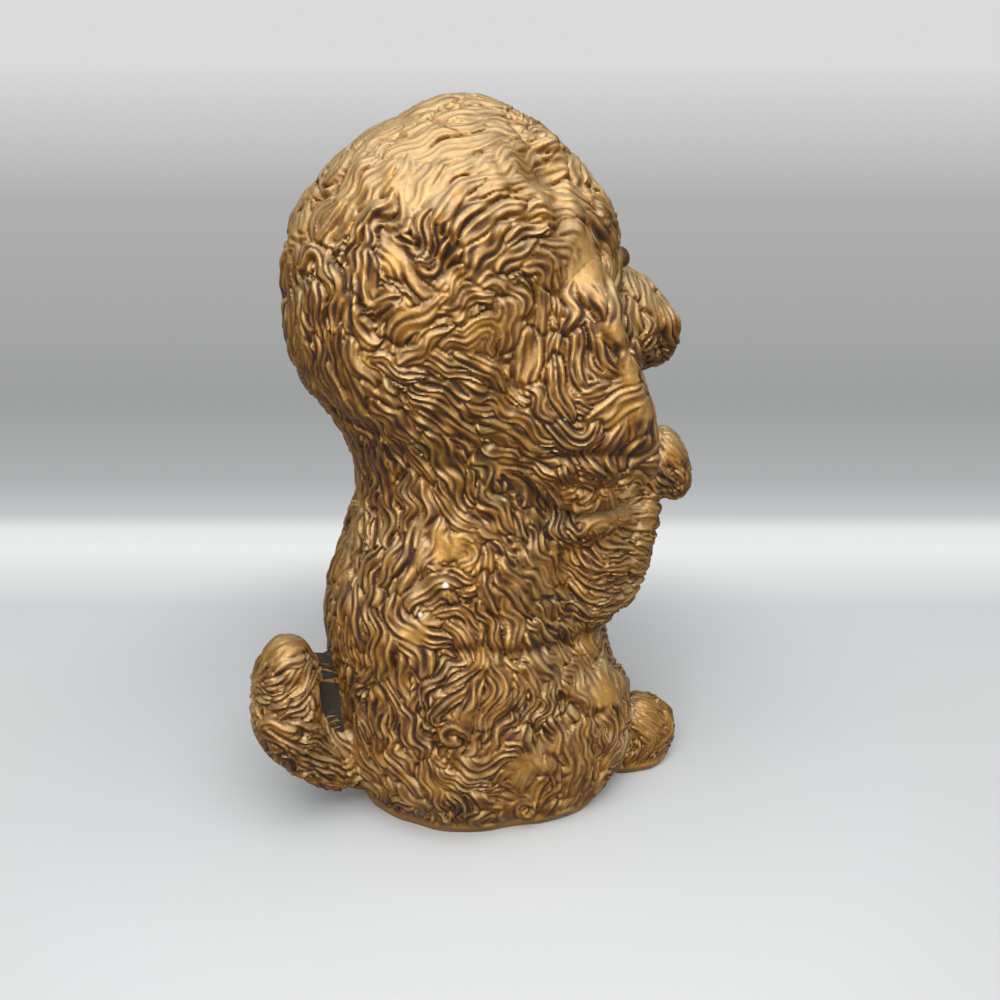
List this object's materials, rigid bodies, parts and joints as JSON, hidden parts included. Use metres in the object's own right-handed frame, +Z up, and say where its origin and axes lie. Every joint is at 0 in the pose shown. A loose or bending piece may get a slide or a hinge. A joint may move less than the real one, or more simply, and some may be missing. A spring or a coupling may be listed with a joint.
{
  "type": "chalkware dog figure",
  "caption": "Hollow painted plaster figure of a curly-coated dog sitting up to beg, with hanging ears, drooping forepaws and a curled tail.",
  "frame": {"origin": "bottom centre of the box round the whole figure, on the surface that it stands on", "axes": "+Z up, -Y the way the dog faces, -X the dog's right side"},
  "size_m": [0.134, 0.2012, 0.306],
  "materials": {
    "painted_plaster": "bronze paint over plaster",
    "bare_plaster": "raw plaster",
    "iron_wire": "dull drawn iron"
  },
  "bodies": {
    "root": {"right_shell": "painted_plaster", "left_shell": "painted_plaster", "inner_seam_bead": "bare_plaster", "right_ear": "painted_plaster", "left_ear": "painted_plaster", "right_ear_smear": "painted_plaster", "left_ear_smear": "painted_plaster", "right_foreleg": "painted_plaster", "left_foreleg": "painted_plaster", "right_shoulder_smear": "painted_plaster", "left_shoulder_smear": "painted_plaster", "right_hind_foot": "painted_plaster", "left_hind_foot": "painted_plaster", "tail": "painted_plaster", "tail_web": "bare_plaster", "right_foreleg_wire": "iron_wire", "left_foreleg_wire": "iron_wire", "tail_wire": "iron_wire"}
  },
  "joints": []
}
